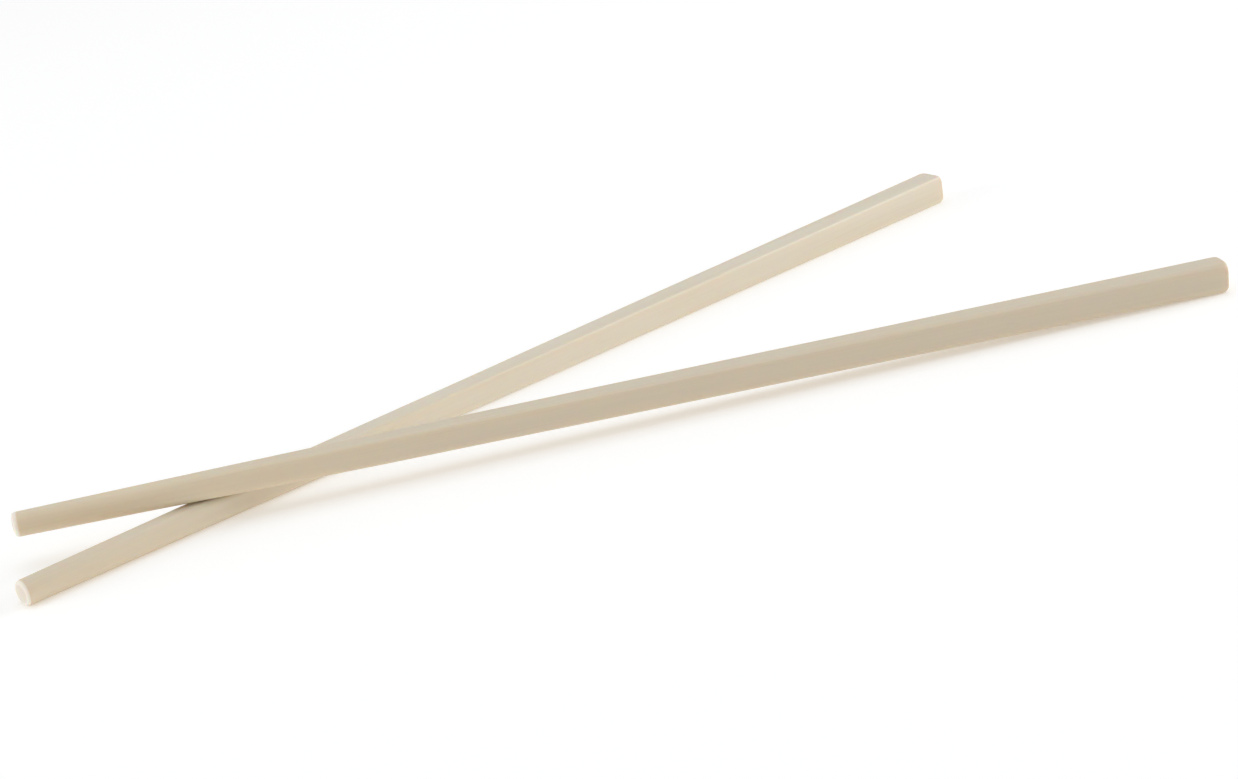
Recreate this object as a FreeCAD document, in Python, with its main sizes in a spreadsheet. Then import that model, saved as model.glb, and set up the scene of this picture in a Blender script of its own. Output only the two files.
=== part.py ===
# A pair of bamboo chopsticks, lying crossed near their tips on a table.
# Each stick is a square bar that narrows to a round point, bevelled round the
# butt and rounded at the tip, and one point is a little thicker than the
# other. Millimetres and degrees, +Z up. The origin is on the table, under the
# middle of the pair, with +X along the lower stick from its tip to its butt.
import FreeCAD, Part
import math
import os
import Sketcher

VECTOR = FreeCAD.Vector
RESTING_ROUNDS = 8  # rounds that settle the upper stick's slope
VOLUME_TOLERANCE = 0.001  # cubic millimetres

# Driving dimensions: alias, value, what it measures.
DRIVING = (
    ("stick_length", 240.0, "tip to butt, along the axis"),
    ("butt_side", 6.3, "width of the square bar at the butt"),
    ("butt_corner", 0.5, "corner radius of the bar at the butt"),
    ("butt_bevel", 0.8, "width of the bevel round the butt, across and along"),
    ("face_corner", 0.4, "corner radius of the flat end face at the butt"),
    ("shoulder_distance", 67.0, "tip to the shoulder where the point begins"),
    ("shoulder_side", 4.95, "width of the bar at the shoulder"),
    ("shoulder_corner", 0.8, "corner radius of the bar at the shoulder"),
    ("lower_tip_width", 4.9, "diameter of the lower stick's round point at the tip"),
    ("upper_tip_width", 4.58, "diameter of the upper stick's round point at the tip"),
    ("tip_flat", 0.2, "width left of each flat face where it runs out at the tip"),
    ("tip_rim", 0.5, "radius of the rounded rim between the tip's end and side"),
    ("lower_crossing", 39.4, "lower stick's tip to the crossing, along its axis"),
    ("upper_crossing", 35.0, "upper stick's tip to the crossing, along its axis"),
    ("crossing_angle", 27.3, "angle between the two sticks, seen from above"),
    ("seat_gap", 0.1, "clearance between the sticks where one rests on the other"),
)


def driving_sheet(doc):
    """Spreadsheet of the driving dimensions, one named cell a row."""
    sheet = doc.addObject("Spreadsheet::Sheet", "Sizes")
    for row, (alias, value, meaning) in enumerate(DRIVING, start=1):
        sheet.set(f"A{row}", meaning)
        sheet.set(f"B{row}", str(value))
        sheet.setAlias(f"B{row}", alias)
    doc.recompute()
    return sheet


def origin_plane(body, role):
    """One of the body's own three base planes."""
    return next(plane for plane in body.Origin.OriginFeatures if plane.Role == role)


def rounded_square(body, name, station, side, corner):
    """Sketch of the bar's section, square to the axis at a station along it."""
    sketch = body.newObject("Sketcher::SketchObject", name)
    sketch.AttachmentSupport = [(origin_plane(body, "YZ_Plane"), "")]
    sketch.MapMode = "FlatFace"
    sketch.setExpression("AttachmentOffset.Base.z", station)
    half, flat = 3.0, 2.0  # first guess, replaced by the named constraints
    corners = ((flat, -flat), (flat, flat), (-flat, flat), (-flat, -flat))
    starts = ((-flat, -half), (half, -flat), (flat, half), (-half, flat))
    ends = ((flat, -half), (half, flat), (-flat, half), (-half, -flat))
    up = VECTOR(0, 0, 1)
    for start, end in zip(starts, ends):
        sketch.addGeometry(Part.LineSegment(VECTOR(*start, 0), VECTOR(*end, 0)), False)
    for turn, centre in enumerate(corners):
        circle = Part.Circle(VECTOR(*centre, 0), up, half - flat)
        first = math.radians(90 * turn - 90)
        sketch.addGeometry(Part.ArcOfCircle(circle, first, first + math.pi / 2), False)
    rules = []
    for line in range(4):
        arc, following = 4 + line, (line + 1) % 4
        rules.append(Sketcher.Constraint("Tangent", line, 2, arc, 1))
        rules.append(Sketcher.Constraint("Tangent", arc, 2, following, 1))
    rules.append(Sketcher.Constraint("Horizontal", 2))
    rules.append(Sketcher.Constraint("Vertical", 3))
    for arc in (5, 6, 7):
        rules.append(Sketcher.Constraint("Equal", 4, arc))
    rules.append(Sketcher.Constraint("Equal", 0, 1))
    rules.append(Sketcher.Constraint("Symmetric", 0, 1, 0, 2, -2))
    rules.append(Sketcher.Constraint("Symmetric", 1, 1, 1, 2, -1))
    sketch.addConstraint(rules)
    width = sketch.addConstraint(Sketcher.Constraint("DistanceX", 3, 2, 1, 1, 2 * half))
    radius = sketch.addConstraint(Sketcher.Constraint("Radius", 4, half - flat))
    sketch.renameConstraint(width, "side")
    sketch.renameConstraint(radius, "corner")
    sketch.setExpression("Constraints.side", side)
    sketch.setExpression("Constraints.corner", corner)
    return sketch


def chopstick(doc, name, tip_width):
    """One finished stick with its tip at the origin and its axis along X.

    The loft leaves even its flat faces as splines, so the finished stick is
    the form with those faces on true planes, which it can be seated by.
    """
    form = stick_form(doc, name + "_form", tip_width)
    stick = doc.addObject("Part::Feature", name)
    stick.Label = name
    stick.Shape = flats_on_planes(form.Shape)
    form.Visibility = False
    if abs(stick.Shape.Volume - form.Shape.Volume) > VOLUME_TOLERANCE:
        raise RuntimeError("the flat faces changed the stick: " + name)
    return stick


def flats_on_planes(shape):
    """The same solid with each flat face that was a spline put on a plane."""
    faces = []
    for face in shape.Faces:
        plane = face.findPlane()
        spline = not isinstance(face.Surface, Part.Plane)
        faces.append(Part.Face(plane, face.OuterWire) if plane and spline else face)
    return Part.Solid(Part.Shell(faces))


def stick_form(doc, name, tip_width):
    """The bar lofted from the tip to the butt, with the tip's rim turned round."""
    body = doc.addObject("PartDesign::Body", name)
    sections = [
        rounded_square(
            body, name + "_tip_section", "0",
            tip_width, f"({tip_width} - Sizes.tip_flat) / 2",
        ),
        rounded_square(
            body, name + "_shoulder_section", "Sizes.shoulder_distance",
            "Sizes.shoulder_side", "Sizes.shoulder_corner",
        ),
        rounded_square(
            body, name + "_butt_section", "Sizes.stick_length - Sizes.butt_bevel",
            "Sizes.butt_side", "Sizes.butt_corner",
        ),
        rounded_square(
            body, name + "_end_face", "Sizes.stick_length",
            "Sizes.butt_side - 2 * Sizes.butt_bevel", "Sizes.face_corner",
        ),
    ]
    doc.recompute()
    bar = body.newObject("PartDesign::AdditiveLoft", name + "_bar")
    bar.Profile = sections[0]
    bar.Sections = sections[1:]
    bar.Ruled = True
    for section in sections:
        section.Visibility = False
    doc.recompute()
    rim = body.newObject("PartDesign::Groove", name + "_tip_rim")
    rim.Profile = rim_profile(body, name + "_rim_profile", tip_width)
    rim.ReferenceAxis = (rim.Profile[0], ["H_Axis"])
    rim.Angle = 360
    rim.Profile[0].Visibility = False
    body.Tip = rim
    doc.recompute()
    if rim.Shape.Volume >= bar.Shape.Volume:
        raise RuntimeError("the rim of the tip was not cut: " + name)
    return body


def rim_profile(body, name, tip_width):
    """Sketch of what is turned away outside the rounded rim of the tip."""
    sketch = body.newObject("Sketcher::SketchObject", name)
    sketch.AttachmentSupport = [(origin_plane(body, "XZ_Plane"), "")]
    sketch.MapMode = "FlatFace"
    face, radius, outside = 1.9, 0.5, 3.4  # first guess, replaced by the named constraints
    circle = Part.Circle(VECTOR(radius, face, 0), VECTOR(0, 0, 1), radius)
    sketch.addGeometry(Part.ArcOfCircle(circle, math.pi / 2, math.pi), False)
    around = ((radius, face + radius), (radius, outside), (-radius, outside), (-radius, face), (0, face))
    for start, end in zip(around, around[1:]):
        sketch.addGeometry(Part.LineSegment(VECTOR(*start, 0), VECTOR(*end, 0)), False)
    rules = [Sketcher.Constraint("Coincident", 0, 1, 1, 1)]
    for line in (1, 2, 3):
        rules.append(Sketcher.Constraint("Coincident", line, 2, line + 1, 1))
    rules.append(Sketcher.Constraint("Coincident", 4, 2, 0, 2))
    rules.append(Sketcher.Constraint("Vertical", 1))
    rules.append(Sketcher.Constraint("Horizontal", 2))
    rules.append(Sketcher.Constraint("Vertical", 3))
    rules.append(Sketcher.Constraint("Horizontal", 4))
    rules.append(Sketcher.Constraint("PointOnObject", 0, 2, -2))
    rules.append(Sketcher.Constraint("Horizontal", 0, 3, 0, 2))
    rules.append(Sketcher.Constraint("Vertical", 0, 3, 0, 1))
    sketch.addConstraint(rules)
    bounds = (
        ("rim", Sketcher.Constraint("Radius", 0, radius), "Sizes.tip_rim"),
        (
            "face", Sketcher.Constraint("DistanceY", -1, 1, 0, 2, face),
            f"{tip_width} / 2 - Sizes.tip_rim + Sizes.tip_flat / 2",
        ),
        ("ahead", Sketcher.Constraint("DistanceX", 3, 1, 0, 2, radius), "Sizes.tip_rim"),
        ("outside", Sketcher.Constraint("DistanceY", -1, 1, 1, 2, outside), tip_width),
    )
    for alias, constraint, size in bounds:
        sketch.renameConstraint(sketch.addConstraint(constraint), alias)
        sketch.setExpression("Constraints." + alias, size)
    return sketch


def half_side(sheet, tip_width, distance):
    """Half the bar's width at a distance from the tip."""
    sides = (float(tip_width), float(sheet.shoulder_side), float(sheet.butt_side))
    return along_bar(sheet, distance, sides) / 2


def flat_half_width(sheet, distance):
    """Half the width of the flat face at a distance from the tip."""
    flats = (
        float(sheet.tip_flat),
        float(sheet.shoulder_side - 2 * sheet.shoulder_corner),
        float(sheet.butt_side - 2 * sheet.butt_corner),
    )
    return along_bar(sheet, distance, flats) / 2


def along_bar(sheet, distance, values):
    """Value at a distance from the tip, given at the tip, the shoulder and the butt's bevel."""
    stations = (0.0, float(sheet.shoulder_distance), float(sheet.stick_length - sheet.butt_bevel))
    span = 0 if distance <= stations[1] else 1
    share = (distance - stations[span]) / (stations[span + 1] - stations[span])
    return values[span] + share * (values[span + 1] - values[span])


def resting_places(sheet):
    """Placements of the lower and the upper stick, the lower one's tip at X = Y = 0.

    The lower stick lies on the table on its tip and its butt. The upper one
    has its butt on the table and lies across the lower one near both tips.
    """
    front = float(sheet.tip_rim)
    back = float(sheet.stick_length - sheet.butt_bevel)
    lower_at, upper_at = float(sheet.lower_crossing), float(sheet.upper_crossing)
    turn = math.radians(float(sheet.crossing_angle))

    front_half = half_side(sheet, sheet.lower_tip_width, front)
    back_half = float(sheet.butt_side) / 2
    rise = math.atan2(back_half - front_half, back - front)
    lower_tip_height = front_half * math.cos(rise) - front * math.sin(rise)
    seat_height = (
        lower_tip_height
        + lower_at * math.sin(rise)
        + half_side(sheet, sheet.lower_tip_width, lower_at) / math.cos(rise)
    )

    # The two flat faces meet at a slight slope, so the edges of one touch first.
    lower_flat, upper_flat = flat_half_width(sheet, lower_at), flat_half_width(sheet, upper_at)
    upper_half = half_side(sheet, sheet.upper_tip_width, upper_at)
    fall = 0.0
    for _ in range(RESTING_ROUNDS):
        along_lower = math.tan(rise) + math.tan(fall) * math.cos(turn)
        along_upper = math.tan(rise) * math.cos(turn) + math.tan(fall)
        lift = (upper_flat * along_lower + lower_flat * along_upper) / math.sin(turn)
        axis_height = seat_height + lift + float(sheet.seat_gap) + upper_half / math.cos(fall)
        fall = math.asin((axis_height - back_half * math.cos(fall)) / (back - upper_at))
    upper_tip_height = axis_height + upper_at * math.sin(fall)

    rising = FreeCAD.Rotation(VECTOR(0, 1, 0), -math.degrees(rise))
    lower = FreeCAD.Placement(VECTOR(0, 0, lower_tip_height), rising)
    falling = FreeCAD.Rotation(VECTOR(0, 1, 0), math.degrees(fall))
    turned = FreeCAD.Rotation(VECTOR(0, 0, 1), -math.degrees(turn)).multiply(falling)
    crossing = VECTOR(lower_at * math.cos(rise), 0, 0)
    back_to_tip = VECTOR(-math.cos(turn), math.sin(turn), 0) * (upper_at * math.cos(fall))
    upper = FreeCAD.Placement(crossing + back_to_tip + VECTOR(0, 0, upper_tip_height), turned)
    return lower, upper


def centre_on_table(sticks):
    """Moves the pair so that the origin is on the table under its middle."""
    box = FreeCAD.BoundBox()
    for stick in sticks:
        box.add(stick.Shape.optimalBoundingBox(False))
    shift = VECTOR(-box.Center.x, -box.Center.y, 0)
    for stick in sticks:
        stick.Placement = FreeCAD.Placement(stick.Placement.Base + shift, stick.Placement.Rotation)


def check_document(doc, sticks):
    """Stops before anything is written if an object failed or a solid is unsound."""
    failed = [item.Label for item in doc.Objects if {"Invalid", "Error"} & set(item.State)]
    if failed:
        raise RuntimeError("failed objects: " + ", ".join(failed))
    for stick in sticks:
        if stick.Shape.isNull() or not stick.Shape.isValid() or len(stick.Shape.Solids) != 1:
            raise RuntimeError("unsound solid: " + stick.Label)


def main():
    doc = FreeCAD.newDocument("Chopsticks")
    sheet = driving_sheet(doc)
    sticks = [
        chopstick(doc, "lower_chopstick", "Sizes.lower_tip_width"),
        chopstick(doc, "upper_chopstick", "Sizes.upper_tip_width"),
    ]
    for stick, place in zip(sticks, resting_places(sheet)):
        stick.Placement = place
    centre_on_table(sticks)
    doc.recompute()
    check_document(doc, sticks)
    os.makedirs("parts", exist_ok=True)
    for stick in sticks:
        stick.Shape.exportStep(os.path.join("parts", stick.Label + ".step"))
        box = stick.Shape.optimalBoundingBox(False)
        print(stick.Label, "volume", round(stick.Shape.Volume, 2), "mm3, box", box)


main()
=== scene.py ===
"""A crossed pair of bamboo chopsticks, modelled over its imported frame, in metres.

Each stick is a row of rounded-square rings from its slightly domed tip to its
butt, bridged into one closed skin, with its rims softened as sanding leaves
them. It is modelled along X with its tip at the origin, then laid where its
node lies.
"""

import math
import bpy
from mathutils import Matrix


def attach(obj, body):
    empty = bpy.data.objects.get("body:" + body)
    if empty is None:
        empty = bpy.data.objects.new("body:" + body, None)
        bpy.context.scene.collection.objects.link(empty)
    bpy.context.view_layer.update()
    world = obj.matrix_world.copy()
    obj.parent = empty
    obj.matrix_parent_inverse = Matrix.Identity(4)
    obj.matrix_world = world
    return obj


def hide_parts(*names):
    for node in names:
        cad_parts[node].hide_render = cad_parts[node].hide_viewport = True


bl_info = {
    "name": "Bamboo Chopsticks",
    "version": (1, 0, 0),
    "blender": (4, 5, 0),
    "location": "3D View > Sidebar > Chopsticks",
    "description": "Models two bamboo chopsticks over their frame and lights them in a plain studio",
    "category": "Add Mesh",
}

from collections import namedtuple

import bpy
import numpy as np
from mathutils import Matrix, Vector

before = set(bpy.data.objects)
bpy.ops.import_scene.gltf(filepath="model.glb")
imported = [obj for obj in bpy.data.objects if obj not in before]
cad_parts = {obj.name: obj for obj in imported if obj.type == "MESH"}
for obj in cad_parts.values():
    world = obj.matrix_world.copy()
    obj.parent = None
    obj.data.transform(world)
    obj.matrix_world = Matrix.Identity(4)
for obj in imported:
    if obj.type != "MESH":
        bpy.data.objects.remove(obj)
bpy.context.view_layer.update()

MM = 0.001
END_DEPTH = 0.4 * MM  # how far from a stick's end its end ring may lie
AXIS_ROUNDS = 4  # rounds that settle a stick's axis

CORNER_STEPS = 8  # faces round each long corner
ROUND_STEPS = 6  # faces along the rounding of each end
DOME_SHARES = (0.25, 0.5, 0.75)  # rings across the dome of the tip, as shares of its face
RING_STEP = 4 * MM  # about the distance between the rings of the bar
WAVES = ((0.095, 0.014 * MM), (0.037, 0.008 * MM))  # wavelength and height of the bar's unevenness
SMOOTH_ANGLE = math.radians(40)
LOWER_SEED = 1.7  # the seeds set the sticks' unevenness and grain apart
UPPER_SEED = 4.3

# how much of each layer shows over the main colour where its mask is full
STREAK_SHARE = 0.05
BUNDLE_SHARE = 0.06
FLECK_SHARE = 0.07
TIP_SHARE = 0.85
FACE_SHARE = 0.5
BUTT_SHARE = 0.35

PATCH_SHARE = 0.35  # how much of the tip colour shows in slow patches of random tone all along a stick
PAINTED_TIP_LIGHT_SHARE = 0.75  # how much of the painted light and shade shows at the tip
PAINTED_TIP_LIGHT_REACH = 1.4  # where it has faded out, in distances from the tip to the shoulder
BUTT_REACH = 1.2  # depth of the butt's mask, in lengths of its rounding
END_FULL = 0.7  # share of its depth at which the mask of an end is full
FACE_FULL = 0.75  # share of its radius at which the mask of the tip's face is full
STREAK_ROUGHNESS = 0.12  # what the streaks add to the roughness
TIP_ROUGHNESS = 0.82

FLOOR_RADIUS = 3
FLOOR_SIDES = 96
FLOOR_RIM = 2  # width of the ring of faces round the middle of the floor

# place and width of each softbox, which all face the origin
RIGHT_BOX = ((1.35, -0.6, 0.3), 0.9)
LEFT_BOX = ((-1.15, 0.55, 0.3), 0.6)
TOP_BOX = ((0.1, 0.2, 1.5), 1.2)

# what sets one stick apart from the other
Stick = namedtuple("Stick", "tip_width butt_corner flesh tip_tone edge_share rim_length seed")


class StickSizes(bpy.types.PropertyGroup):
    """Sizes of both sticks."""

    butt_side: bpy.props.FloatProperty(
        name="Butt Width", description="Width of the square bar at the butt",
        default=6.3 * MM, unit="LENGTH", precision=5,
    )
    lower_butt_corner: bpy.props.FloatProperty(
        name="Lower Butt Corner", description="Corner radius of the lower stick's bar at the butt",
        default=0.5 * MM, unit="LENGTH", precision=5,
    )
    upper_butt_corner: bpy.props.FloatProperty(
        name="Upper Butt Corner", description="Corner radius of the upper stick's bar at the butt",
        default=1.3 * MM, unit="LENGTH", precision=5,
    )
    butt_round_length: bpy.props.FloatProperty(
        name="Butt Round Length", description="Length of the rounding at the butt, along the stick",
        default=1.15 * MM, unit="LENGTH", precision=5,
    )
    butt_round_depth: bpy.props.FloatProperty(
        name="Butt Round Depth", description="Depth of the rounding at the butt, across the stick",
        default=0.32 * MM, unit="LENGTH", precision=5,
    )
    face_corner: bpy.props.FloatProperty(
        name="End Face Corner", description="Corner radius of the flat end face of the butt",
        default=1.8 * MM, unit="LENGTH", precision=5,
    )
    butt_slant: bpy.props.FloatProperty(
        name="Butt Slant", description="How far out of square the butt is sawn",
        default=math.radians(-3), unit="ROTATION",
    )
    shoulder_distance: bpy.props.FloatProperty(
        name="Shoulder", description="Distance from the tip to where the point begins",
        default=67 * MM, unit="LENGTH", precision=5,
    )
    shoulder_side: bpy.props.FloatProperty(
        name="Shoulder Width", description="Width of the bar at the shoulder",
        default=4.95 * MM, unit="LENGTH", precision=5,
    )
    shoulder_corner: bpy.props.FloatProperty(
        name="Shoulder Corner", description="Corner radius of the bar at the shoulder",
        default=0.8 * MM, unit="LENGTH", precision=5,
    )
    lower_tip_width: bpy.props.FloatProperty(
        name="Lower Tip Width", description="Diameter of the lower stick's round point",
        default=4.9 * MM, unit="LENGTH", precision=5,
    )
    upper_tip_width: bpy.props.FloatProperty(
        name="Upper Tip Width", description="Diameter of the upper stick's round point",
        default=4.58 * MM, unit="LENGTH", precision=5,
    )
    tip_flat: bpy.props.FloatProperty(
        name="Tip Flat", description="Width left of each flat side at the tip",
        default=0.2 * MM, unit="LENGTH", precision=5,
    )
    tip_round_length: bpy.props.FloatProperty(
        name="Tip Round Length", description="Length of the rounding at the tip, along the stick",
        default=0.8 * MM, unit="LENGTH", precision=5,
    )
    tip_round_depth: bpy.props.FloatProperty(
        name="Tip Round Depth", description="Depth of the rounding at the tip, across the stick",
        default=0.5 * MM, unit="LENGTH", precision=5,
    )
    tip_dome: bpy.props.FloatProperty(
        name="Tip Dome", description="How far the middle of the tip stands out past its rim",
        default=0.22 * MM, min=0.1 * MM, unit="LENGTH", precision=5,
    )
    tip_slant: bpy.props.FloatProperty(
        name="Tip Slant", description="How far out of square the tip is sawn",
        default=math.radians(2.9), unit="ROTATION",
    )


class BambooFinish(bpy.types.PropertyGroup):
    """Colours and grain of the bare, sanded bamboo, with the painted highlight along its corners and the
    painted light and shade near its tips.
    """

    lower_flesh: bpy.props.FloatVectorProperty(
        name="Lower Stick", description="Main colour of the lower stick",
        subtype="COLOR", size=4, min=0, max=1, default=(0.742, 0.669, 0.536, 1),
    )
    upper_flesh: bpy.props.FloatVectorProperty(
        name="Upper Stick", description="Main colour of the upper stick",
        subtype="COLOR", size=4, min=0, max=1, default=(0.668, 0.582, 0.447, 1),
    )
    # Painted shade: the lower stick is made darker towards its tip, where less light reaches it; the
    # same colour also shows in slow patches of random tone.
    lower_tone_and_painted_tip_shade: bpy.props.FloatVectorProperty(
        name="Lower Tip Tone And Painted Shade", description="What the lower stick's colour is multiplied by near its tip",
        subtype="COLOR", size=3, min=0, max=1.5, default=(0.915, 0.862, 0.79),
    )
    # Painted light: the upper stick is made lighter towards its tip, where light comes from below; the
    # same colour also shows in slow patches of random tone.
    upper_tone_and_painted_tip_light: bpy.props.FloatVectorProperty(
        name="Upper Tip Tone And Painted Light", description="What the upper stick's colour is multiplied by near its tip",
        subtype="COLOR", size=3, min=0, max=1.5, default=(1.075, 1.05, 0.985),
    )
    fibre: bpy.props.FloatVectorProperty(
        name="Fibre", description="Colour of the fibre bundles",
        subtype="COLOR", size=4, min=0, max=1, default=(0.46, 0.34, 0.2, 1),
    )
    tip_rim: bpy.props.FloatVectorProperty(
        name="Tip Rim", description="Colour of the sanded rim round the tip",
        subtype="COLOR", size=4, min=0, max=1, default=(0.86, 0.82, 0.74, 1),
    )
    tip_face: bpy.props.FloatVectorProperty(
        name="Tip Face", description="Colour of the fibre ends in the middle of the tip",
        subtype="COLOR", size=4, min=0, max=1, default=(0.66, 0.58, 0.47, 1),
    )
    cut_butt: bpy.props.FloatVectorProperty(
        name="Cut Butt", description="Colour of the fibre ends at the butt, which take up more light",
        subtype="COLOR", size=4, min=0, max=1, default=(0.55, 0.46, 0.34, 1),
    )
    # Pale line along the corners: partly sanding wear, mostly a painted highlight where the corners
    # catch the light.
    edge: bpy.props.FloatVectorProperty(
        name="Edge Wear And Painted Highlight", description="Colour that sanding leaves along the corners",
        subtype="COLOR", size=4, min=0, max=1, default=(0.85, 0.78, 0.66, 1),
    )
    # The lower stick's corners carry a stronger painted highlight than the upper stick's.
    lower_edge_painted_highlight_share: bpy.props.FloatProperty(
        name="Lower Edge Highlight Share", description="Strength of the pale line along the lower stick's corners",
        subtype="FACTOR", min=0, max=1, default=0.5,
    )
    upper_edge_painted_highlight_share: bpy.props.FloatProperty(
        name="Upper Edge Highlight Share", description="Strength of the pale line along the upper stick's corners",
        subtype="FACTOR", min=0, max=1, default=0.12,
    )
    lower_rim_length: bpy.props.FloatProperty(
        name="Lower Rim Length", description="How far the pale rim runs up the lower stick from its tip",
        default=0.85 * MM, unit="LENGTH", precision=5,
    )
    upper_rim_length: bpy.props.FloatProperty(
        name="Upper Rim Length", description="How far the pale rim runs up the upper stick from its tip",
        default=1.35 * MM, unit="LENGTH", precision=5,
    )
    roughness: bpy.props.FloatProperty(
        name="Roughness", description="Roughness of the long faces",
        subtype="FACTOR", min=0, max=1, default=0.5,
    )
    bundle_spacing: bpy.props.FloatProperty(
        name="Bundle Spacing", description="Distance between the fibre bundles",
        default=0.62 * MM, unit="LENGTH", precision=5,
    )


class StudioSettings(bpy.types.PropertyGroup):
    """Floor, lights and camera."""

    floor_colour: bpy.props.FloatVectorProperty(
        name="Floor", description="Colour of the plain floor",
        subtype="COLOR", size=4, min=0, max=1, default=(0.8, 0.8, 0.8, 1),
    )
    glow_colour: bpy.props.FloatVectorProperty(
        name="Glow", description="Colour of the light that the floor gives off, as a light table does",
        subtype="COLOR", size=4, min=0, max=1, default=(1.0, 0.927, 0.835, 1),
    )
    glow_strength: bpy.props.FloatProperty(
        name="Glow Strength", description="Strength of the light that the floor gives off",
        min=0, default=0.295,
    )
    sky_colour: bpy.props.FloatVectorProperty(
        name="Sky", description="Colour of the even light from all sides",
        subtype="COLOR", size=4, min=0, max=1, default=(0.971, 0.99, 1.0, 1),
    )
    sky_strength: bpy.props.FloatProperty(
        name="Sky Strength", description="Strength of the even light from all sides",
        min=0, default=0.602,
    )
    right_power: bpy.props.FloatProperty(
        name="Right Light", description="Power of the softbox on the right",
        unit="POWER", min=0, default=12,
    )
    left_power: bpy.props.FloatProperty(
        name="Left Light", description="Power of the softbox on the left, behind the tips",
        unit="POWER", min=0, default=4.5,
    )
    top_power: bpy.props.FloatProperty(
        name="Top Light", description="Power of the softbox overhead",
        unit="POWER", min=0, default=5.5,
    )
    top_colour: bpy.props.FloatVectorProperty(
        name="Top Light Colour", description="Colour of the softbox overhead",
        subtype="COLOR", size=3, min=0, max=1, default=(0.746, 0.854, 1.0),
    )
    camera_place: bpy.props.FloatVectorProperty(
        name="Camera", description="Where the camera stands",
        subtype="TRANSLATION", size=3, default=(-0.26991, -0.33345, 0.17455),
    )
    camera_aim: bpy.props.FloatVectorProperty(
        name="Aim", description="Point at the middle of the picture",
        subtype="TRANSLATION", size=3, default=(-0.00513, 0.00826, 0.005),
    )
    camera_roll: bpy.props.FloatProperty(
        name="Roll", description="Turn of the camera about its line of sight, clockwise",
        subtype="ANGLE", default=math.radians(9.015),
    )
    camera_lens: bpy.props.FloatProperty(
        name="Lens", description="Focal length in millimetres on a 36 mm wide sensor",
        default=69.79,
    )


def deselect_all():
    """Leaves object mode's selection empty, so that an operator acts on new work only."""
    bpy.ops.object.select_all(action="DESELECT")


def node_points(node):
    """The corners of a frame node's mesh as an array."""
    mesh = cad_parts[node].data
    points = np.zeros(len(mesh.vertices) * 3)
    mesh.vertices.foreach_get("co", points)
    return points.reshape(-1, 3)


def stick_place(node):
    """Matrix that lays a stick modelled along X where its node lies, and its length."""
    points = node_points(node)
    axis = points[points[:, 0].argmax()] - points[points[:, 0].argmin()]
    for _ in range(AXIS_ROUNDS):
        along = Vector(axis).normalized()
        side = Vector((0, 0, 1)).cross(along).normalized()
        turn = Matrix((along, side, along.cross(side))).transposed()
        local = points @ np.array(turn)
        ends = []
        for end in (local[:, 0].min(), local[:, 0].max()):
            ring = local[abs(local[:, 0] - end) < END_DEPTH, 1:]
            middle = (ring.min(0) + ring.max(0)) / 2
            ends.append(turn @ Vector((end, *middle)))
        axis = ends[1] - ends[0]
    return Matrix.Translation(ends[0]) @ turn.to_4x4(), axis.length


def between(distance, stations, values):
    """Value at a distance, along straight stretches between the stations."""
    return float(np.interp(distance, stations, values))


def tip_rings(sizes, tip_width, tip_corner):
    """The rings of the tip's domed face and rounded rim, and the distance where the rim ends."""
    face_side = tip_width - 2 * sizes.tip_round_depth
    face_corner = tip_corner - sizes.tip_round_depth
    reach = abs(math.tan(sizes.tip_slant)) * face_side / 2
    # the slanted dome reaches furthest beside its middle, and there the stick ends
    rim = sizes.tip_dome + reach ** 2 / (4 * sizes.tip_dome)
    front = rim + sizes.tip_round_length
    rings = []
    for share in DOME_SHARES:
        distance = rim - sizes.tip_dome * (1 - share ** 2)
        rings.append((distance, face_side * share, face_corner * share, sizes.tip_slant))
    for step in range(ROUND_STEPS):
        turn = math.pi / 2 * step / ROUND_STEPS
        inset = sizes.tip_round_depth * (1 - math.sin(turn))
        distance = front - sizes.tip_round_length * math.cos(turn)
        rings.append((distance, tip_width - 2 * inset, tip_corner - inset, sizes.tip_slant))
    return rings, front


def bar_rings(sizes, own, tip_corner, front, back):
    """The rings of the long bar, which is straight from tip to shoulder and on to the butt."""
    stations = (0, sizes.shoulder_distance, back)
    sides = (own.tip_width, sizes.shoulder_side, sizes.butt_side)
    corners = (tip_corner, sizes.shoulder_corner, own.butt_corner)
    count = round((back - front) / RING_STEP)
    rings = []
    for step in range(count + 1):
        distance = front + (back - front) * step / count
        ease = math.sin(math.pi * step / count)
        uneven = sum(
            height * math.sin(math.tau * distance / span + own.seed * span / MM)
            for span, height in WAVES
        )
        side = between(distance, stations, sides) + 2 * ease * uneven
        slant = sizes.tip_slant * (step == 0) + sizes.butt_slant * (step == count)
        rings.append((distance, side, between(distance, stations, corners), slant))
    return rings


def butt_rings(sizes, butt_corner, back):
    """The rings of the butt's rounded rim, the last of them round its flat end face."""
    rings = []
    for step in range(1, ROUND_STEPS + 1):
        turn = math.pi / 2 * step / ROUND_STEPS
        inset = sizes.butt_round_depth * (1 - math.cos(turn))
        distance = back + sizes.butt_round_length * math.sin(turn)
        corner = butt_corner + (sizes.face_corner - butt_corner) * step / ROUND_STEPS
        rings.append((distance, sizes.butt_side - 2 * inset, corner, sizes.butt_slant))
    return rings


def stick_rings(sizes, own, length):
    """Distance, width, corner radius and slant of each ring, from the tip to the butt."""
    tip_corner = (own.tip_width - sizes.tip_flat) / 2
    tip, front = tip_rings(sizes, own.tip_width, tip_corner)
    reach = abs(math.tan(sizes.butt_slant)) * (sizes.butt_side / 2 - sizes.butt_round_depth)
    back = length - reach - sizes.butt_round_length
    bar = bar_rings(sizes, own, tip_corner, front, back)
    return tip + bar + butt_rings(sizes, own.butt_corner, back)


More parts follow.
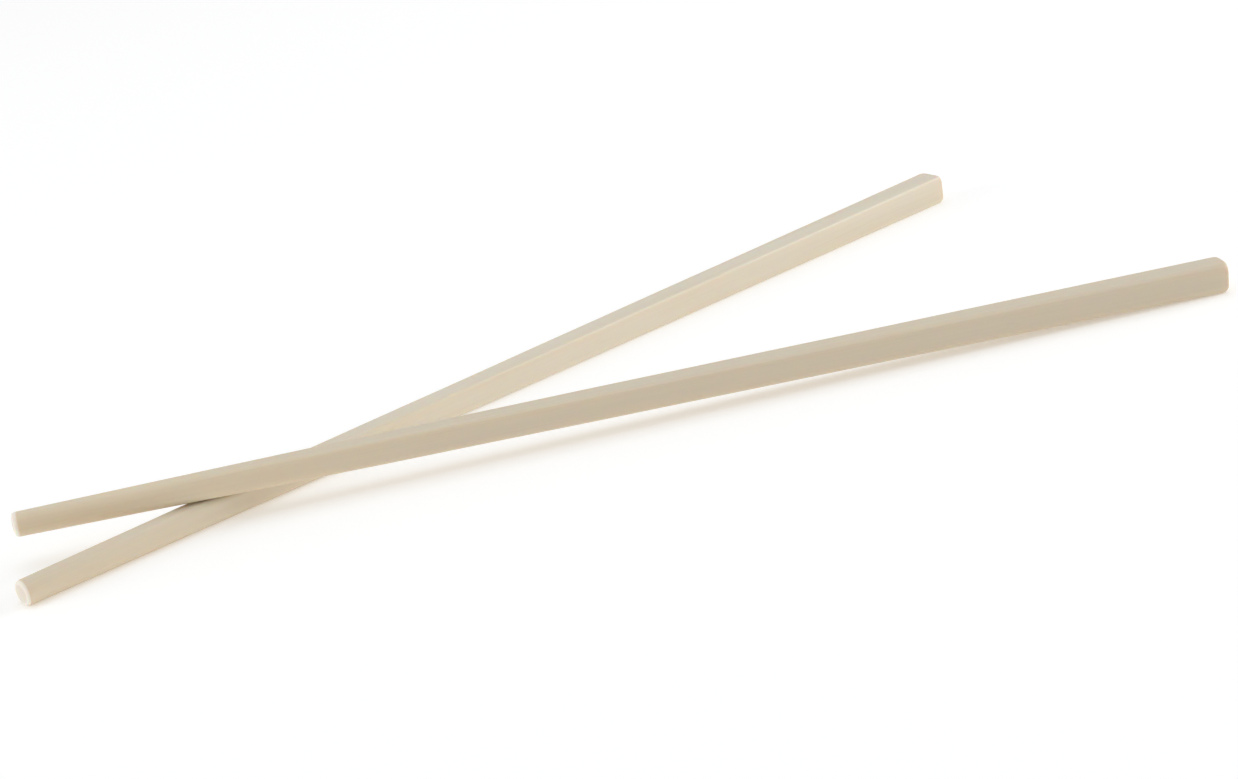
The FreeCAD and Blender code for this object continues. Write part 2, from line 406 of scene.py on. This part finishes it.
def add_ring(distance, side, corner, slant):
    """One rounded square of edges across X, added to the mesh in edit mode."""
    bpy.ops.mesh.primitive_plane_add(
        size=side, location=(distance, 0, 0), rotation=(0, math.pi / 2, slant)
    )
    bpy.ops.mesh.bevel(
        affect="VERTICES", offset_type="OFFSET", offset=corner,
        segments=CORNER_STEPS, profile=0.5, clamp_overlap=False,
    )
    bpy.ops.mesh.delete(type="ONLY_FACE")


def model_stick(name, rings):
    """The closed skin of one stick, along X with its tip at the origin."""
    deselect_all()
    bpy.ops.object.add(type="MESH", location=(0, 0, 0))
    stick = bpy.context.object
    stick.name = name
    stick.data.name = name
    bpy.ops.object.mode_set(mode="EDIT")
    for ring in rings:
        add_ring(*ring)
    bpy.ops.mesh.select_all(action="SELECT")
    bpy.ops.mesh.bridge_edge_loops(type="SINGLE")
    bpy.ops.mesh.select_all(action="SELECT")
    bpy.ops.mesh.fill_holes(sides=0)
    bpy.ops.mesh.select_all(action="SELECT")
    bpy.ops.mesh.normals_make_consistent(inside=False)
    bpy.ops.object.mode_set(mode="OBJECT")
    return stick


def mark_corners(stick):
    """Stores how near each point is to a long corner: 1 on it, 0 in the middle of a flat face."""
    nearness = stick.data.attributes.new("corner", "FLOAT", "POINT")
    values = []
    for vertex in stick.data.vertices:
        across, up = abs(vertex.co.y), abs(vertex.co.z)
        values.append(2 * min(across, up) / (across + up))
    nearness.data.foreach_set("value", values)


def lay_stick(stick, place):
    """Moves the finished mesh to its place and leaves the object itself at the origin."""
    deselect_all()
    stick.select_set(True)
    bpy.context.view_layer.objects.active = stick
    stick.matrix_world = place
    bpy.ops.object.transform_apply(location=True, rotation=True, scale=True)
    bpy.ops.object.shade_smooth_by_angle(angle=SMOOTH_ANGLE)
    weighted = stick.modifiers.new("Flat Faces", "WEIGHTED_NORMAL")
    weighted.keep_sharp = True
    bpy.ops.object.modifier_apply(modifier=weighted.name)


def add_node(tree, kind, place, inputs=None, **settings):
    """A node at a place in a node tree, with its settings made and its inputs set or linked."""
    node = tree.nodes.new(kind)
    node.location = place
    for name, value in settings.items():
        setattr(node, name, value)
    for name, value in (inputs or {}).items():
        if isinstance(value, bpy.types.NodeSocket):
            tree.links.new(value, node.inputs[name])
        else:
            node.inputs[name].default_value = value
    return node


def new_group(name, inputs, outputs):
    """An empty shader node group with its sockets, and its input and output nodes."""
    group = bpy.data.node_groups.new(name, "ShaderNodeTree")
    for label, kind, value in inputs:
        socket = group.interface.new_socket(label, in_out="INPUT", socket_type=kind)
        if value is not None:
            socket.default_value = value
    for label in outputs:
        group.interface.new_socket(label, in_out="OUTPUT", socket_type="NodeSocketFloat")
    entry = group.nodes.new("NodeGroupInput")
    entry.location = (-1200, 0)
    leave = group.nodes.new("NodeGroupOutput")
    leave.location = (900, 0)
    return group, entry, leave


def stretched_noise(group, place, coordinates, stretch, detail):
    """Noise drawn out along the stick: stretch is the count of waves in a metre each way."""
    mapping = add_node(
        group, "ShaderNodeMapping", place, {"Vector": coordinates, "Scale": stretch}
    )
    noise = add_node(
        group, "ShaderNodeTexNoise", (place[0] + 200, place[1]),
        {"Vector": mapping.outputs["Vector"], "Scale": 1.0, "Detail": detail},
    )
    return noise.outputs["Fac"]


def map_value(tree, place, value, low, high, to_low=0.0, to_high=1.0):
    """A value moved softly from one range to another, and held at its ends."""
    node = add_node(
        tree, "ShaderNodeMapRange", place,
        {
            "Value": value, "From Min": low, "From Max": high,
            "To Min": to_low, "To Max": to_high,
        },
        interpolation_type="SMOOTHSTEP",
    )
    return node.outputs["Result"]


def calculate(tree, place, operation, first, second):
    """The result of one math operation on two values."""
    return add_node(
        tree, "ShaderNodeMath", place, {0: first, 1: second}, operation=operation
    ).outputs["Value"]


def fade_inwards(tree, place, value, outer, full_share):
    """A mask that begins at an outer value and is full at a share of it."""
    inner = calculate(tree, (place[0] - 200, place[1] + 100), "MULTIPLY", outer, full_share)
    return map_value(tree, place, value, outer, inner)


def drifted(group, coordinates):
    """Coordinates that wander a little, so that the grain isn't dead straight."""
    drift = add_node(
        group, "ShaderNodeTexNoise", (-800, -350),
        {"Vector": coordinates, "Scale": 22.0, "Detail": 1.0},
    )
    drift_size = add_node(
        group, "ShaderNodeVectorMath", (-600, -350),
        {0: drift.outputs["Color"], "Scale": 1.6 * MM}, operation="SCALE",
    )
    return add_node(
        group, "ShaderNodeVectorMath", (-400, 0),
        {0: coordinates, 1: drift_size.outputs["Vector"]}, operation="ADD",
    ).outputs["Vector"]


def fibre_bundles(group, coordinates, spacing):
    """A mask of the long fibre bundles, a spacing apart across the stick."""
    per_metre = calculate(group, (-400, 250), "DIVIDE", 1.0, spacing)
    stretch = add_node(
        group, "ShaderNodeCombineXYZ", (-200, 250), {"X": 9.0, "Y": per_metre, "Z": per_metre}
    ).outputs["Vector"]
    cells = add_node(
        group, "ShaderNodeVectorMath", (0, 250),
        {0: coordinates, 1: stretch}, operation="MULTIPLY",
    ).outputs["Vector"]
    distance = add_node(
        group, "ShaderNodeTexVoronoi", (180, 250), {"Vector": cells, "Scale": 1.0, "Randomness": 0.85}
    ).outputs["Distance"]
    return map_value(group, (380, 250), distance, low=0.38, high=0.08)


def fibre_group():
    """Group that puts out the fibre bundles, fine streaks and slow tone of solid bamboo."""
    group, entry, leave = new_group(
        "Bamboo Fibres",
        (
            ("Stick Place", "NodeSocketVector", None),
            ("Bundle Spacing", "NodeSocketFloat", 0.62 * MM),
            ("Seed", "NodeSocketFloat", 0.0),
        ),
        ("Bundles", "Streaks", "Flecks", "Tone", "Height"),
    )
    seed_step = add_node(
        group, "ShaderNodeCombineXYZ", (-1000, -200), {"X": entry.outputs["Seed"]}
    )
    shifted = add_node(
        group, "ShaderNodeVectorMath", (-800, 0),
        {0: entry.outputs["Stick Place"], 1: seed_step.outputs["Vector"]}, operation="ADD",
    ).outputs["Vector"]
    coordinates = drifted(group, shifted)
    bundles = fibre_bundles(group, coordinates, entry.outputs["Bundle Spacing"])

    fine = stretched_noise(group, (0, 0), coordinates, stretch=(14, 2600, 2600), detail=3.0)
    short = stretched_noise(group, (0, -250), coordinates, stretch=(90, 1500, 1500), detail=1.0)
    slow = stretched_noise(group, (0, -500), coordinates, stretch=(16, 260, 260), detail=2.0)
    streaks = map_value(group, (380, 0), fine, low=0.3, high=0.7)
    flecks = map_value(group, (380, -250), short, low=0.68, high=0.78)
    tone = map_value(group, (380, -500), slow, low=0.3, high=0.7)
    height = calculate(group, (600, 120), "SUBTRACT", streaks, bundles)
    for label, value in (
        ("Bundles", bundles), ("Streaks", streaks), ("Flecks", flecks),
        ("Tone", tone), ("Height", height),
    ):
        group.links.new(value, leave.inputs[label])
    return group


def cut_end_group():
    """Group that puts out the cut tip, the middle of its face, and the cut butt, each as a mask."""
    group, entry, leave = new_group(
        "Cut Ends",
        (
            ("Stick Place", "NodeSocketVector", None),
            ("Length", "NodeSocketFloat", 240 * MM),
            ("Tip Depth", "NodeSocketFloat", 0.5 * MM),
            ("Butt Depth", "NodeSocketFloat", 0.5 * MM),
            ("Face Radius", "NodeSocketFloat", 2 * MM),
        ),
        ("Tip", "Face", "Butt"),
    )
    parts = add_node(
        group, "ShaderNodeSeparateXYZ", (-900, 0), {"Vector": entry.outputs["Stick Place"]}
    )
    from_tip = parts.outputs["X"]
    from_butt = calculate(group, (-700, -150), "SUBTRACT", entry.outputs["Length"], from_tip)
    across = add_node(
        group, "ShaderNodeCombineXYZ", (-700, 450),
        {"Y": parts.outputs["Y"], "Z": parts.outputs["Z"]},
    ).outputs["Vector"]
    radius = add_node(
        group, "ShaderNodeVectorMath", (-500, 450), {0: across}, operation="LENGTH"
    ).outputs["Value"]
    tip = fade_inwards(group, (-300, 150), from_tip, entry.outputs["Tip Depth"], END_FULL)
    middle = fade_inwards(group, (-300, 450), radius, entry.outputs["Face Radius"], FACE_FULL)
    butt = fade_inwards(group, (-300, -250), from_butt, entry.outputs["Butt Depth"], END_FULL)
    face = calculate(group, (0, 300), "MULTIPLY", tip, middle)
    group.links.new(tip, leave.inputs["Tip"])
    group.links.new(face, leave.inputs["Face"])
    group.links.new(butt, leave.inputs["Butt"])
    return group


def edge_wear_and_painted_highlight_group():
    """Group that puts out the pale line along the corners, partly sanding wear and partly a painted
    highlight, broken up as sandpaper leaves it.

    The line fades out towards the round point, which has no corners.
    """
    group, entry, leave = new_group(
        "Edge Wear And Painted Highlights",
        (
            ("Stick Place", "NodeSocketVector", None),
            ("Corner", "NodeSocketFloat", 0.0),
            ("Fade From", "NodeSocketFloat", 75 * MM),
            ("Fade To", "NodeSocketFloat", 125 * MM),
        ),
        ("Mask",),
    )
    place = entry.outputs["Stick Place"]
    along = add_node(group, "ShaderNodeSeparateXYZ", (-900, -200), {"Vector": place}).outputs["X"]
    line = map_value(group, (-500, 200), entry.outputs["Corner"], low=0.92, high=0.99)
    square = map_value(
        group, (-500, -50), along, entry.outputs["Fade From"], entry.outputs["Fade To"]
    )
    wear = stretched_noise(group, (-700, -300), place, stretch=(60, 200, 200), detail=2.0)
    patches = map_value(
        group, (-300, -300), wear, low=0.25, high=0.6, to_low=0.45, to_high=1.0
    )
    fading = calculate(group, (-100, 100), "MULTIPLY", line, square)
    mask = calculate(group, (100, 0), "MULTIPLY", fading, patches)
    group.links.new(mask, leave.inputs["Mask"])
    return group


def shared_group(name, maker):
    """A shader node group, made when it is first asked for."""
    return bpy.data.node_groups.get(name) or maker()


def mix_colour(tree, place, share, first, second):
    """One colour laid over another by a share."""
    return add_node(
        tree, "ShaderNodeMix", place, {"Factor": share, "A": first, "B": second}, data_type="RGBA"
    ).outputs["Result"]


def stick_coordinates(tree, place):
    """Coordinates that run from a stick's tip along X, however the stick lies."""
    coordinates = add_node(tree, "ShaderNodeTexCoord", (-1300, 0))
    return add_node(
        tree, "ShaderNodeMapping", (-1100, 0),
        {
            "Vector": coordinates.outputs["Object"],
            "Location": place.to_translation(), "Rotation": place.to_euler(),
        },
        vector_type="TEXTURE",
    ).outputs["Vector"]


def flesh_colour(tree, along, tone, sizes, own):
    """The stick's main colour, with painted light and shade near the tip, and the same colour in slow
    patches of random tone.
    """
    distance = add_node(tree, "ShaderNodeSeparateXYZ", (-900, 500), {"Vector": along}).outputs["X"]
    # painted light and shade, full at the tip and fading out along the stick
    painted_tip_light = map_value(
        tree, (-700, 500), distance, low=0.0, high=sizes.shoulder_distance * PAINTED_TIP_LIGHT_REACH,
        to_low=PAINTED_TIP_LIGHT_SHARE, to_high=0.0,
    )
    patches = calculate(tree, (-700, 300), "MULTIPLY", tone, PATCH_SHARE)
    depth = calculate(tree, (-500, 500), "ADD", patches, painted_tip_light)
    tone_and_light_colour = [channel * factor for channel, factor in zip(own.flesh, own.tip_tone)] + [1]
    return mix_colour(tree, (-300, 300), depth, own.flesh, tone_and_light_colour)


def bamboo_material(name, finish, sizes, own, place, length):
    """Bare sanded bamboo with its fibres along one stick, with a painted highlight along its corners and
    painted light and shade near its tip.
    """
    material = bpy.data.materials.new(name)
    material.use_nodes = True
    tree = material.node_tree
    surface = tree.nodes["Principled BSDF"]
    surface.location = (1500, 0)
    tree.nodes["Material Output"].location = (1800, 0)

    along = stick_coordinates(tree, place)
    corner = add_node(tree, "ShaderNodeAttribute", (-1100, -500), attribute_name="corner")
    fibres = add_node(
        tree, "ShaderNodeGroup", (-800, 100),
        {"Stick Place": along, "Bundle Spacing": finish.bundle_spacing, "Seed": own.seed},
        node_tree=shared_group("Bamboo Fibres", fibre_group),
    )
    ends = add_node(
        tree, "ShaderNodeGroup", (-800, -250),
        {
            "Stick Place": along, "Length": length, "Tip Depth": own.rim_length,
            "Butt Depth": sizes.butt_round_length * BUTT_REACH,
            "Face Radius": own.tip_width / 2 - sizes.tip_round_depth,
        },
        node_tree=shared_group("Cut Ends", cut_end_group),
    )
    edges = add_node(
        tree, "ShaderNodeGroup", (-800, -500),
        {"Stick Place": along, "Corner": corner.outputs["Fac"]},
        node_tree=shared_group("Edge Wear And Painted Highlights", edge_wear_and_painted_highlight_group),
    )

    colour = flesh_colour(tree, along, fibres.outputs["Tone"], sizes, own)
    layers = (
        (fibres.outputs["Streaks"], STREAK_SHARE, finish.fibre),
        (fibres.outputs["Bundles"], BUNDLE_SHARE, finish.fibre),
        (fibres.outputs["Flecks"], FLECK_SHARE, finish.fibre),
        # painted highlight and sanding wear along the corners
        (edges.outputs["Mask"], own.edge_share, finish.edge),
        (ends.outputs["Tip"], TIP_SHARE, finish.tip_rim),
        (ends.outputs["Face"], FACE_SHARE, finish.tip_face),
        (ends.outputs["Butt"], BUTT_SHARE, finish.cut_butt),
    )
    for number, (mask, most, over) in enumerate(layers):
        share = calculate(tree, (-500, 100 - 200 * number), "MULTIPLY", mask, most)
        colour = mix_colour(tree, (-100 + 200 * number, 300), share, colour, tuple(over))
    tree.links.new(colour, surface.inputs["Base Color"])

    streaked = map_value(
        tree, (300, -200), fibres.outputs["Streaks"], low=0.0, high=1.0,
        to_low=finish.roughness, to_high=finish.roughness + STREAK_ROUGHNESS,
    )
    rough = add_node(
        tree, "ShaderNodeMix", (600, -200),
        {"Factor": ends.outputs["Tip"], "A": streaked, "B": TIP_ROUGHNESS},
    )
    tree.links.new(rough.outputs["Result"], surface.inputs["Roughness"])
    relief = add_node(
        tree, "ShaderNodeBump", (800, -400),
        {"Height": fibres.outputs["Height"], "Strength": 0.12, "Distance": 0.03 * MM},
    )
    tree.links.new(relief.outputs["Normal"], surface.inputs["Normal"])
    surface.inputs["Specular IOR Level"].default_value = 0.4
    surface.inputs["Subsurface Weight"].default_value = 0.5
    surface.inputs["Subsurface Radius"].default_value = (1.0, 0.45, 0.18)
    surface.inputs["Subsurface Scale"].default_value = 3 * MM
    return material


def make_stick(context, name, node, own):
    """Models, lays and finishes the stick that stands for a node."""
    sizes = context.scene.stick_sizes
    finish = context.scene.bamboo_finish
    place, length = stick_place(node)
    stick = model_stick(name, stick_rings(sizes, own, length))
    mark_corners(stick)
    lay_stick(stick, place)
    stick.data.materials.append(
        bamboo_material(name + " bamboo", finish, sizes, own, place, length)
    )
    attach(stick, "root")
    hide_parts(node)


class CHOPSTICKS_OT_lower_stick(bpy.types.Operator):
    """Add the stick that lies flat on the table"""

    bl_idname = "chopsticks.lower_stick"
    bl_label = "Lower Stick"
    bl_options = {"REGISTER", "UNDO"}

    def execute(self, context):
        sizes = context.scene.stick_sizes
        finish = context.scene.bamboo_finish
        own = Stick(
            tip_width=sizes.lower_tip_width, butt_corner=sizes.lower_butt_corner,
            flesh=tuple(finish.lower_flesh), tip_tone=tuple(finish.lower_tone_and_painted_tip_shade),
            edge_share=finish.lower_edge_painted_highlight_share, rim_length=finish.lower_rim_length,
            seed=LOWER_SEED,
        )
        make_stick(context, "lower_stick", "lower_chopstick", own)
        return {"FINISHED"}


class CHOPSTICKS_OT_upper_stick(bpy.types.Operator):
    """Add the stick that lies across the other one near both tips"""

    bl_idname = "chopsticks.upper_stick"
    bl_label = "Upper Stick"
    bl_options = {"REGISTER", "UNDO"}

    def execute(self, context):
        sizes = context.scene.stick_sizes
        finish = context.scene.bamboo_finish
        own = Stick(
            tip_width=sizes.upper_tip_width, butt_corner=sizes.upper_butt_corner,
            flesh=tuple(finish.upper_flesh), tip_tone=tuple(finish.upper_tone_and_painted_tip_light),
            edge_share=finish.upper_edge_painted_highlight_share, rim_length=finish.upper_rim_length,
            seed=UPPER_SEED,
        )
        make_stick(context, "upper_stick", "upper_chopstick", own)
        return {"FINISHED"}


def add_floor(studio):
    """A wide plain floor under the sticks."""
    deselect_all()
    bpy.ops.mesh.primitive_circle_add(
        vertices=FLOOR_SIDES, radius=FLOOR_RADIUS, fill_type="NGON", location=(0, 0, 0)
    )
    floor = bpy.context.object
    floor.name = "floor"
    bpy.ops.object.mode_set(mode="EDIT")
    bpy.ops.mesh.select_all(action="SELECT")
    bpy.ops.mesh.inset(thickness=FLOOR_RIM)
    bpy.ops.object.mode_set(mode="OBJECT")
    material = bpy.data.materials.new("plain floor")
    material.use_nodes = True
    surface = material.node_tree.nodes["Principled BSDF"]
    surface.inputs["Base Color"].default_value = studio.floor_colour
    surface.inputs["Roughness"].default_value = 0.9
    surface.inputs["Specular IOR Level"].default_value = 0.1
    surface.inputs["Emission Color"].default_value = studio.glow_colour
    surface.inputs["Emission Strength"].default_value = studio.glow_strength
    floor.data.materials.append(material)


def add_softbox(name, box, power, colour=(1, 1, 1)):
    """A soft square light, turned to the origin; box is its place and width."""
    place, size = box
    deselect_all()
    bpy.ops.object.light_add(type="AREA", location=place)
    lamp = bpy.context.object
    lamp.name = name
    lamp.rotation_euler = (-Vector(place)).to_track_quat("-Z", "Y").to_euler()
    lamp.data.shape = "SQUARE"
    lamp.data.size = size
    lamp.data.energy = power
    lamp.data.color = colour


def add_sky(studio):
    """Even light from all sides."""
    world = bpy.data.worlds.new("studio")
    bpy.context.scene.world = world
    world.use_nodes = True
    background = world.node_tree.nodes["Background"]
    background.inputs["Color"].default_value = studio.sky_colour
    background.inputs["Strength"].default_value = studio.sky_strength


def add_camera(studio):
    """The camera at the photograph's viewing angle."""
    deselect_all()
    place, aim = Vector(studio.camera_place), Vector(studio.camera_aim)
    bpy.ops.object.camera_add(location=place)
    camera = bpy.context.object
    camera.name = "camera"
    facing = (aim - place).to_track_quat("-Z", "Y").to_matrix()
    camera.rotation_euler = (facing @ Matrix.Rotation(-studio.camera_roll, 3, "Z")).to_euler()
    camera.data.sensor_width = 36
    camera.data.sensor_fit = "HORIZONTAL"
    camera.data.lens = studio.camera_lens
    camera.data.clip_start = 0.01
    camera.data.clip_end = 20
    bpy.context.scene.camera = camera


class CHOPSTICKS_OT_studio(bpy.types.Operator):
    """Add the plain floor, the soft lights and the camera"""

    bl_idname = "chopsticks.studio"
    bl_label = "Studio"
    bl_options = {"REGISTER", "UNDO"}

    def execute(self, context):
        studio = context.scene.studio_settings
        add_floor(studio)
        add_softbox("right light", RIGHT_BOX, studio.right_power)
        add_softbox("left light", LEFT_BOX, studio.left_power)
        add_softbox("top light", TOP_BOX, studio.top_power, studio.top_colour)
        add_sky(studio)
        add_camera(studio)
        context.scene.view_settings.view_transform = "Standard"
        return {"FINISHED"}


class CHOPSTICKS_PT_panel(bpy.types.Panel):
    """Lists the steps and the main sizes in the sidebar"""

    bl_idname = "CHOPSTICKS_PT_panel"
    bl_label = "Chopsticks"
    bl_space_type = "VIEW_3D"
    bl_region_type = "UI"
    bl_category = "Chopsticks"

    def draw(self, context):
        layout = self.layout
        for step in STEPS:
            layout.operator(step.bl_idname)
        for group in (
            context.scene.stick_sizes, context.scene.bamboo_finish, context.scene.studio_settings
        ):
            column = layout.column(align=True)
            for name in group.__annotations__:
                column.prop(group, name)


STEPS = (CHOPSTICKS_OT_lower_stick, CHOPSTICKS_OT_upper_stick, CHOPSTICKS_OT_studio)
GROUPS = {
    "stick_sizes": StickSizes,
    "bamboo_finish": BambooFinish,
    "studio_settings": StudioSettings,
}


def register():
    """Registers the settings, the operators and the panel."""
    for group in GROUPS.values():
        bpy.utils.register_class(group)
    for name, group in GROUPS.items():
        setattr(bpy.types.Scene, name, bpy.props.PointerProperty(type=group))
    for shown in (*STEPS, CHOPSTICKS_PT_panel):
        bpy.utils.register_class(shown)


def unregister():
    """Takes away all that register adds."""
    for shown in (CHOPSTICKS_PT_panel, *reversed(STEPS)):
        bpy.utils.unregister_class(shown)
    for name, group in reversed(GROUPS.items()):
        delattr(bpy.types.Scene, name)
        bpy.utils.unregister_class(group)


def main():
    """Registers the add-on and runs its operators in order."""
    register()
    bpy.ops.chopsticks.lower_stick()
    bpy.ops.chopsticks.upper_stick()
    bpy.ops.chopsticks.studio()


if __name__ == "__main__":
    main()
